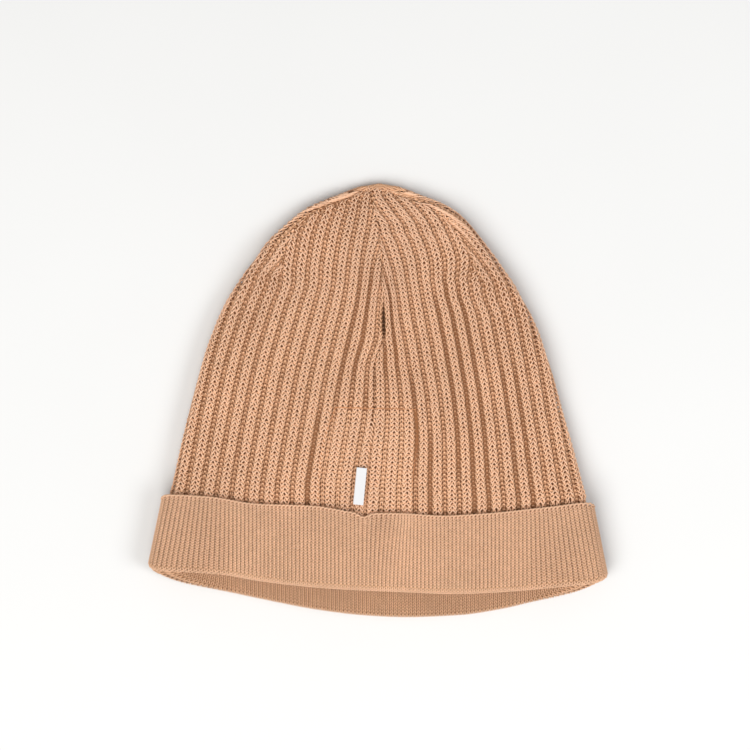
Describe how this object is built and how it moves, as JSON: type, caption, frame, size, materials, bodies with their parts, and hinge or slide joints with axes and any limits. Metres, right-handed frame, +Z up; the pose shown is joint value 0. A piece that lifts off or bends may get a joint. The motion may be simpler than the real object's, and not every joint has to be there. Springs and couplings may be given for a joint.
{
  "type": "knitted beanie",
  "caption": "Rib-knit beanie lying flat, with a turned-up fine-knit cuff, a centre front seam, crown darts and a small folded side label.",
  "frame": {"origin": "centre of the hat's outline, on the surface that it lies on", "axes": "+Z up out of the front of the lying hat, +Y from the mouth towards the crown's tip, +X to the right across the cuff"},
  "size_m": [0.2006, 0.1909, 0.0199],
  "materials": {
    "rib_knit": "matte",
    "cuff_knit": "matte",
    "seam_yarn": "matte",
    "patch_fabric": "matte",
    "label_thread": "matte",
    "label_tape": "satin"
  },
  "bodies": {
    "crown": {"crown_front_left_panel": "rib_knit", "crown_front_right_panel": "rib_knit", "crown_back_panel": "rib_knit", "crown_tip_closure": "rib_knit", "centre_seam": "seam_yarn", "left_dart_seam": "seam_yarn", "right_dart_seam": "seam_yarn", "back_dart_seam": "seam_yarn", "inner_patch": "patch_fabric", "patch_stitching": "seam_yarn", "label_stitching": "label_thread"},
    "cuff": {"cuff_outer_layer": "cuff_knit", "cuff_inner_layer": "cuff_knit", "cuff_bound_edge": "cuff_knit", "cuff_front_seam": "seam_yarn"},
    "label": {"woven_label": "label_tape"}
  },
  "joints": [
    {"name": "cuff_turn_down", "type": "slide", "parent": "crown", "child": "cuff", "axis": [0, -1, 0], "range_m": [0, 0.024]},
    {"name": "label_flip", "type": "hinge", "parent": "crown", "child": "label", "pos_m": [-0.0063, -0.0462, 0.018], "axis": [0.0989, 0.9951, -0.0076], "range_deg": [0, 160]}
  ]
}
